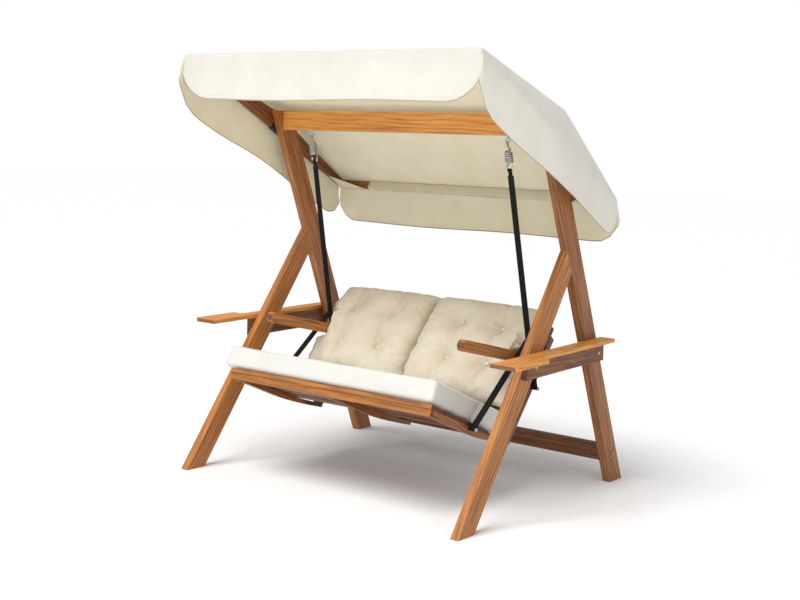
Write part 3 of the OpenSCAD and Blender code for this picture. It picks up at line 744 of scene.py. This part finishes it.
def rounded_box(low, high, step, radius):
    """Points and faces of a box with round edges, as an even grid on its six sides."""
    low, high = np.array(low), np.array(high)
    counts = np.maximum(2, np.round((high - low) / step).astype(int))
    found, pts, quad_list = {}, [], []

    def index(ijk):
        if ijk not in found:
            p = low + (high - low) * np.array(ijk) / counts
            core = np.clip(p, low + radius, high - radius)
            off = p - core
            length = np.linalg.norm(off)
            found[ijk] = len(pts)
            pts.append(core + off / length * radius if length > 1e-9 else p)
        return found[ijk]

    for axis in range(3):
        u, v = [k for k in range(3) if k != axis]
        for end in (0, counts[axis]):
            for i in range(counts[u]):
                for j in range(counts[v]):
                    ring = []
                    for a, b in ((0, 0), (1, 0), (1, 1), (0, 1)):
                        ijk = [0, 0, 0]
                        ijk[axis], ijk[u], ijk[v] = end, i + a, j + b
                        ring.append(index(tuple(int(k) for k in ijk)))
                    outward = (end > 0) != (axis == 1)
                    quad_list.append(tuple(ring) if outward else tuple(ring[::-1]))
    return np.array(pts), quad_list


# %% Seat pad
low, high = own_box("seat_cushion", SEAT_LEAN)
corners = own_points(nodes["seat_cushion"], SEAT_LEAN)
bulge_end = corners[corners[:, 0] < low[0] + 0.001][:, 1].max()
inset = np.array((0.002, 0.002, 0.004))
pts, quad_list = rounded_box(low + inset, high - inset, PAD_STEP, PAD_EDGE)
pad = make("seat_pad", [SEAT_LEAN @ Vector(p) for p in pts], quad_list, (seat_cloth,))
inflate(pad, 3.0, PAD_CAP)

# %% Shape the pad
BULGE_EASE = 0.03  # how soon the pad's left side returns behind the armrest
LIFT_WIDE, LIFT_HIGH = 0.035, 0.030  # how far in and how far up the lifted lower edge reaches
LIFT = 0.010

shape = own_points(pad, SEAT_LEAN)
ease = np.clip((shape[:, 1] - bulge_end) / BULGE_EASE, 0, 1)
left_limit = low[0] - 0.006 - (low[0] + high[0]) * ease * ease * (3 - 2 * ease)
shape[:, 0] = np.clip(shape[:, 0], left_limit, high[0] + 0.006)
shape[:, 1] = np.clip(shape[:, 1], low[1] - 0.005, high[1] + 0.004)
shape[:, 2] = np.clip(shape[:, 2], low[2], high[2] + 0.006)
to_edge = np.minimum(shape[:, 1] - low[1], high[0] - shape[:, 0]) / LIFT_WIDE
above = (shape[:, 2] - low[2]) / LIFT_HIGH
shape[:, 2] += LIFT * np.clip(1 - to_edge, 0, 1) * np.clip(1 - above, 0, 1)
# The foam inside is never quite even
for k, p in enumerate(shape):
    drift = noise.noise(Vector((p[0] * 4, p[1] * 4, p[2] * 4))) * 0.0035
    if low[2] + 0.01 < p[2]:
        shape[k, 2] += drift
        shape[k, 1] += drift if p[1] < low[1] + 0.03 else 0
put_points(pad, shape, SEAT_LEAN)
pad.modifiers.new("smooth", "SUBSURF").levels = 1
pad.modifiers["smooth"].render_levels = 1
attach(pad, "bench")
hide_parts("seat_cushion")
print("seat pad:", len(pts), "points")

# %% [markdown]
# ## Back pillows
# Two loose pillows filled with fibre. Each is two panels sewn together round the edge,
# with four buttons pulled in by a cord through the filling. The cloth gathers at the
# side seams and puckers round the buttons. The start shape is a pillow with a dimple at
# each button. Its buttons and its seam are pinned, and the cloth swells between them.
# The swelling is cut short at 26 mm, so the fullness comes mostly from the start shape.
# The gathers, the puckers and the valleys are then drawn with noise and waves.
# The pillows press against each other in the middle, and at its outer side each one is
# squeezed in where the armrest and the straps stand.

# %% Where the buttons are
def button_spots():
    """Middle of each button, in the leaning frame, from the node's separate solids."""
    found = []
    for p in own_points(nodes["cushion_buttons"], BACK_LEAN):
        for spot in found:
            if abs(spot[0][0] - p[0]) < 0.04 and abs(spot[0][2] - p[2]) < 0.04:
                spot.append(p)
                break
        else:
            found.append([p])
    return [(np.min(s, axis=0) + np.max(s, axis=0)) / 2 for s in found]


buttons = button_spots()
inner_edges = [own_box("back_cushion_left", BACK_LEAN)[1][0], own_box("back_cushion_right", BACK_LEAN)[0][0]]
MEETING = sum(inner_edges) / 2  # the two pillows press against each other here
print(len(buttons), "buttons, pillows meet at", round(float(MEETING), 4))

# %% The room that a pillow has
PILLOW_SEAM = 0.4  # where the seam lies, from the rear face to the front face
SQUEEZE_EASE = 0.045  # how soon the cloth spreads again beside an armrest
SQUEEZE_GAP = 0.004
SEAM_LIFT = 0.012  # the seam stands this far above the seat pad


def neighbours(side_name):
    """The armrest and the straps on one side, flattened along X."""
    flat, faces = [], []
    for part in ("armrest_", "strap_", "front_strand_"):
        mesh = nodes[part + side_name].data
        faces += [[len(flat) + k for k in face.vertices] for face in mesh.polygons]
        flat += [Vector((0, *(BACK_LEAN.transposed() @ v.co)[1:])) for v in mesh.vertices]
    return BVHTree.FromPolygons(flat, faces)


class Room:
    """The space that a pillow fills, measured along the backrest's lean."""

    def __init__(self, side_name):
        node = "back_cushion_" + side_name
        self.low, self.high = own_box(node, BACK_LEAN)
        self.sign = 1 if side_name == "right" else -1
        verts = own_points(nodes[node], BACK_LEAN)
        self.inner = MEETING + self.sign * 0.0008
        self.far = self.high[0] if self.sign > 0 else self.low[0]
        foot = verts[verts[:, 2] < self.low[2] + 0.01]
        self.near = foot[:, 0].max() if self.sign > 0 else foot[:, 0].min()
        self.depth = self.high[1] - self.low[1]
        self.seam_y = self.high[1] - self.depth * PILLOW_SEAM
        notch = sorted({round(v[2], 3) for v in verts if abs(v[0] - self.far) < 0.002})[-3]
        back_foot = [v[2] for v in verts if v[1] > self.high[1] - 0.001 and v[2] < notch - 0.05]
        self.foot_rise = max(back_foot) - self.low[2]
        span = sorted((self.inner, self.far))
        self.buttons = [b for b in buttons if span[0] < b[0] < span[1]]
        self.beside = neighbours(side_name)

    def floor_at(self, y):
        """Height of the seat pad under the pillow at depth y."""
        return self.low[2] + self.foot_rise * (y - self.low[1]) / self.depth + 0.003

    def outer(self, y, z):
        """Outer edge: squeezed in beside the armrest and the straps, spread elsewhere."""
        away = self.beside.find_nearest(Vector((0, y, z)))[3]
        t = min(1, max(0, (away - SQUEEZE_GAP) / SQUEEZE_EASE))
        return self.near + (self.far - self.near) * t * t * (3 - 2 * t)


# %% The start shape
COLUMNS, ROWS = 80, 76
DIMPLE_DEEP, DIMPLE_WIDE = 0.064, 0.056
PINNED_R = 0.017  # the cloth is held this far round a button


def pillow_start(room):
    """Points, faces and grid index of two panels that share their rim."""
    seam_foot = room.floor_at(room.seam_y) + SEAM_LIFT
    pts, quad_list, index = [], [], {}
    for face in (0, 1):
        for j in range(ROWS + 1):
            for i in range(COLUMNS + 1):
                if face and (i in (0, COLUMNS) or j in (0, ROWS)):
                    index[1, i, j] = index[0, i, j]
                    continue
                u, v = i / COLUMNS, j / ROWS
                s, t = 2 * u - 1, 2 * v - 1
                z = seam_foot + (room.high[2] - SEAM_LIFT - seam_foot) * v
                x = room.inner + (room.far - room.sign * 0.004 - room.inner) * u
                # The top seam draws in between the corners
                z -= 0.010 * t * (1 - s * s)
                side = 3.2 if s > 0 else 9  # the inner side is pressed flat by the other pillow
                full = (max(0, 1 - abs(s) ** side) * max(0, 1 - abs(t) ** 3.2)) ** 0.5
                if face:
                    z -= 0.06 * full * (1 - v) ** 1.5
                    y = room.seam_y - (room.depth * (1 - PILLOW_SEAM) - 0.014) * full
                    for b in room.buttons:
                        away = math.hypot(x - b[0], z - b[2])
                        y += DIMPLE_DEEP * math.exp(-(away / DIMPLE_WIDE) ** 1.7) * full
                else:
                    y = room.seam_y + (room.depth * PILLOW_SEAM - 0.006) * min(1, full * 1.2)
                index[face, i, j] = len(pts)
                pts.append((x, y, z))
    for face in (0, 1):
        for j in range(ROWS):
            for i in range(COLUMNS):
                ring = [index[face, i + a, j + b] for a, b in ((0, 0), (1, 0), (1, 1), (0, 1))]
                quad_list.append(tuple(ring) if (face == 1) == (room.sign > 0) else tuple(ring[::-1]))
    return np.array(pts), quad_list, index


def pins(pts, index, room):
    """The points that don't swell: the rim and the cloth round each button."""
    held = {k for k, p in enumerate(pts) if p[1] < room.seam_y
            and any(math.hypot(p[0] - b[0], p[2] - b[2]) < PINNED_R for b in room.buttons)}
    return sorted(held | {k for (face, i, j), k in index.items() if i in (0, COLUMNS) or j in (0, ROWS)})


# %% Gathers and puckers
def gather(shape, index, room, seed):
    """Folds that run in from the seams, and puckers and valleys at the buttons."""
    for (face, i, j), k in index.items():
        if not face:
            continue
        s, t = 2 * i / COLUMNS - 1, 2 * j / ROWS - 1
        side_near = math.exp(-(1 - abs(s)) / 0.17) * (1 - abs(s) ** 14)
        ply = noise.noise(Vector((seed + math.copysign(3, s), t * 10.0, s * 1.5)))
        fine = noise.noise(Vector((seed + math.copysign(7, s), t * 21.0, s * 1.5)))
        shape[k, 1] += (0.022 * ply + 0.018 * fine) * side_near
        top_near = math.exp(-(1 - abs(t)) / 0.10) * (1 - abs(t) ** 12)
        shape[k, 1] += 0.006 * noise.noise(Vector((s * 14.0, seed, math.copysign(5, t)))) * top_near
        for n, b in enumerate(room.buttons):
            dx, dz = shape[k, 0] - b[0], shape[k, 2] - b[2]
            pucker = math.sin(5 * math.atan2(dz, dx) + n * 1.7 + seed)
            shape[k, 1] += 0.004 * pucker * math.exp(-((math.hypot(dx, dz) - 0.045) / 0.032) ** 2)
            # A soft valley runs up and down from each button
            bend = b[0] + room.sign * 0.012 * math.sin(dz * 9 + n)
            valley = math.exp(-((shape[k, 0] - bend) / 0.014) ** 2) * math.exp(-(abs(dz) / 0.16) ** 2)
            shape[k, 1] += 0.018 * valley


def keep_in(shape, room):
    """Keeps the cloth out of the other pillow, the armrest, the straps and the pad."""
    limit = np.array([room.outer(p[1], p[2]) for p in shape])
    shape[:, 0] = np.clip(shape[:, 0], np.minimum(room.inner, limit), np.maximum(room.inner, limit))
    shape[:, 1] = np.clip(shape[:, 1], room.low[1] - 0.008, room.high[1])
    shape[:, 2] = np.clip(shape[:, 2], room.floor_at(shape[:, 1]), room.high[2] + 0.012)


# %% A pillow
CAP_REACH = 0.013


def pillow(side_name, seed):
    """Makes a pillow. Returns the button spots on its front and the points of its seam."""
    room = Room(side_name)
    pts, quad_list, index = pillow_start(room)
    obj = make("back_pillow_" + side_name, [BACK_LEAN @ Vector(p) for p in pts], quad_list, (back_cloth,))
    inflate(obj, 5.0, PILLOW_CAP, pins(pts, index, room), shrink=-0.04)
    shape = own_points(obj, BACK_LEAN)
    gather(shape, index, room, seed)
    keep_in(shape, room)
    put_points(obj, shape, BACK_LEAN)
    smooth = obj.modifiers.new("smooth", "SUBSURF")
    smooth.levels = smooth.render_levels = 1
    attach(obj, "bench")
    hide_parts("back_cushion_" + side_name)
    tops = []
    for b in room.buttons:
        near = [shape[k, 1] for (face, i, j), k in index.items()
                if face and math.hypot(shape[k, 0] - b[0], shape[k, 2] - b[2]) < CAP_REACH]
        tops.append((b[0], float(min(near)) - 0.001 if near else b[1], b[2]))
    rim = [index[0, i, 0] for i in range(COLUMNS)] + [index[0, COLUMNS, j] for j in range(ROWS)]
    rim += [index[0, i, ROWS] for i in range(COLUMNS, 0, -1)]
    rim += [index[0, 0, j] for j in range(ROWS, 0, -1)]
    return tops, [shape[k] for k in rim]


# %% [markdown]
# ## Cords and wires
# The welt along a pillow's seam and the springs are both a round section that follows a
# line. A curve with a bevel makes that shape, and the export takes meshes, so the curve
# is turned into one.

# %% Tube
def tube(name, path, radius, mat, closed=False):
    """A round cord or wire along a path: a curve with thickness, turned into a mesh."""
    data = bpy.data.curves.new(name, "CURVE")
    data.dimensions = "3D"
    data.bevel_depth = radius
    data.bevel_resolution = 3
    spline = data.splines.new("POLY")
    spline.points.add(len(path) - 1)
    for point, p in zip(spline.points, path):
        point.co = (*p, 1)
    spline.use_cyclic_u = closed
    data.use_fill_caps = not closed
    drawn = bpy.data.objects.new("drawn", data)
    scene.collection.objects.link(drawn)
    bpy.context.view_layer.update()
    mesh = bpy.data.meshes.new_from_object(drawn.evaluated_get(bpy.context.evaluated_depsgraph_get()))
    bpy.data.objects.remove(drawn)
    mesh.name = name
    mesh.materials.clear()
    mesh.materials.append(mat)
    mesh.shade_smooth()
    obj = bpy.data.objects.new(name, mesh)
    scene.collection.objects.link(obj)
    return obj


# %% Two pillows and their seams
WELT = 0.0022  # radius of the sewn edge
spots = []
for side_name, seed in (("left", 2.3), ("right", 9.1)):
    tops, rim = pillow(side_name, seed)
    spots += tops
    welt = tube("pillow_seam_" + side_name, [BACK_LEAN @ Vector(p) for p in rim], WELT, back_cloth, True)
    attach(welt, "bench")
print("two pillows,", len(spots), "button spots")

# %% [markdown]
# ## Pillow buttons
# Each button is a small dome covered with the pillow's own canvas, and sits at the
# bottom of its dimple. Its canvas is drawn paler than the pillow's, as painted light on
# the dome. A few rings of points, turned round the button's middle, make the dome and
# its rolled rim.

# %% Pillow buttons
BUTTON_R = 0.0105
BUTTON_SUNK = 0.002
BUTTON_STEPS = 20
DOME = ((0.0, -0.0052), (0.35, -0.0049), (0.7, -0.0038), (0.92, -0.0018), (1.0, 0.0004), (0.9, 0.003))


def button_cap(spot):
    """A covered button: a low dome with a turned rim, facing out of the pillow."""
    pts, quad_list, steps = [], [], BUTTON_STEPS
    for r, y in DOME:
        for k in range(steps):
            a = 2 * math.pi * k / steps
            pts.append(Vector((spot[0] + BUTTON_R * r * math.cos(a), spot[1] - BUTTON_SUNK + y,
                               spot[2] + BUTTON_R * r * math.sin(a))))
    for row in range(len(DOME) - 1):
        for k in range(steps):
            a, b = row * steps + k, row * steps + (k + 1) % steps
            quad_list.append((a, b, b + steps, a + steps))
    return pts, quad_list


all_points, all_faces = [], []
for spot in spots:
    pts, quad_list = button_cap(spot)
    shift = len(all_points)
    all_points += [BACK_LEAN @ p for p in pts]
    all_faces += [tuple(k + shift for k in q) for q in quad_list]
caps = make("pillow_buttons", all_points, all_faces, (button_cloth,))
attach(caps, "bench")
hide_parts("cushion_buttons")
print(len(spots), "covered buttons")

# %% [markdown]
# ## Springs
# Each strap hangs from a coil spring of 9 mm wire with a hook at the top and a bar for
# the webbing at the bottom. A curve with a round profile is how wire is best made: the
# centre line is worked out, and the thickness follows it. The spring stretches between
# the eye above, which belongs to the frame's hangers, and the strap below.

# %% Springs
WIRE_R = 0.0045
COIL_R = 0.0195
COILS = 6
TURN_STEPS = 32
HOOK_R = 0.010
COIL_TOP = -0.045
COIL_PITCH = 2 * WIRE_R + 0.001
BAR_Z = -0.147
BAR_HALF = 0.015
EYE = Vector((0.690, -0.120, 1.905))
KINK = Vector((0.690, 0.136, 0.842))  # where the front strand leaves the strap
lean = math.atan2(KINK.y - EYE.y, EYE.z - KINK.z)
coil_end = COIL_TOP - COILS * COIL_PITCH

wire = [(0, HOOK_R * math.cos(math.radians(a)), HOOK_R * math.sin(math.radians(a)))
        for a in range(-60, 241, 10)]
wire += [(0, -0.003, -0.013), (0, 0.004, -0.018), (0, 0.012, -0.027), (0, COIL_R - 0.002, -0.036)]
for k in range(COILS * TURN_STEPS + 1):
    a = 2 * math.pi * k / TURN_STEPS
    wire.append((-COIL_R * math.sin(a), COIL_R * math.cos(a), COIL_TOP - k * COIL_PITCH / TURN_STEPS))
wire += [(-0.009, COIL_R - 0.001, coil_end - 0.004), (-0.015, 0.011, coil_end - 0.012),
         (-BAR_HALF - 0.002, 0.002, coil_end - 0.020), (-BAR_HALF - 0.003, 0, BAR_Z + 0.010),
         (-BAR_HALF - 0.0015, 0, BAR_Z + 0.003), (-BAR_HALF + 0.002, 0, BAR_Z), (0, 0, BAR_Z),
         (BAR_HALF - 0.002, 0, BAR_Z), (BAR_HALF + 0.0015, 0, BAR_Z + 0.003),
         (BAR_HALF + 0.003, 0, BAR_Z + 0.010), (BAR_HALF + 0.002, 0, BAR_Z + 0.024)]
turn = Matrix.Rotation(lean, 3, "X")
for side_name, sign in (("left", -1), ("right", 1)):
    path = []
    for p in wire:
        q = turn @ Vector(p)
        path.append(Vector((sign * (EYE.x + q.x), EYE.y + q.y, EYE.z + q.z)))
    spring = tube("spring_wire_" + side_name, path, WIRE_R, zinc)
    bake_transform(spring)
    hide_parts("spring_" + side_name)
print("two springs,", COILS, "coils each")

# %% [markdown]
# ## Floor and light
# The bench stands on a white floor under big soft boxes. The sun lamp with a wide
# angle is the main soft box, up and in front. A low box in front lights the boards
# under the canopy, and one on the right lights its side. A white world fills in, and
# shows as plain white.

# %% Stage
FLOOR_HALF = 60
CORNERS = ((-1, -1), (1, -1), (1, 1), (-1, 1))
floor = make("floor", [(x * FLOOR_HALF, y * FLOOR_HALF, -0.0005) for x, y in CORNERS], [(0, 1, 2, 3)],
             smooth=False)
paper = new_material("white paper")
skin = add(paper, "BsdfPrincipled", {"Base Color": colour("#F7F7F7"), "Roughness": 0.95})["BSDF"]
add(paper, "OutputMaterial", {"Surface": skin})
finish(floor, paper)
floor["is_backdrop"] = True

FILL = 0.41
world = bpy.data.worlds.new("studio")
scene.world = world
world.use_nodes = True
world.node_tree.nodes.clear()
seen = add(world, "LightPath")["Is Camera Ray"]
fill = add(world, "Background", {"Color": (1, 1, 1, 1), "Strength": FILL})["Background"]
white = add(world, "Background", {"Color": (1, 1, 1, 1), "Strength": 1.0})["Background"]
both = add(world, "MixShader", {0: seen, 1: fill, 2: white})["Shader"]
add(world, "OutputWorld", {"Surface": both})
print("floor and world set")

# %% Lamps
def lamp(name, kind, place, target, energy, **settings):
    """A lamp at a place, turned to face a target."""
    data = bpy.data.lights.new(name, kind)
    data.energy = energy
    for key, value in settings.items():
        setattr(data, key, value)
    obj = bpy.data.objects.new(name, data)
    scene.collection.objects.link(obj)
    obj.location = place
    obj.rotation_euler = (Vector(target) - Vector(place)).to_track_quat("-Z", "Y").to_euler()
    return obj


lamp("key", "SUN", (-0.6, -3.4, 5.6), (0, 0, 0), 2.55, angle=math.radians(36))
lamp("front box", "AREA", (0.4, -5.4, 1.2), (0, 0, 1.1), 42, shape="RECTANGLE", size=3.0, size_y=1.6)
lamp("side box", "AREA", (5.6, -1.6, 3.0), (0, 0, 1.4), 56, shape="RECTANGLE", size=3.0, size_y=2.4)
scene.view_settings.view_transform = "Standard"
print("lights set")

# %% Finish
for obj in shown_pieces():
    assert obj.data.materials, obj.name
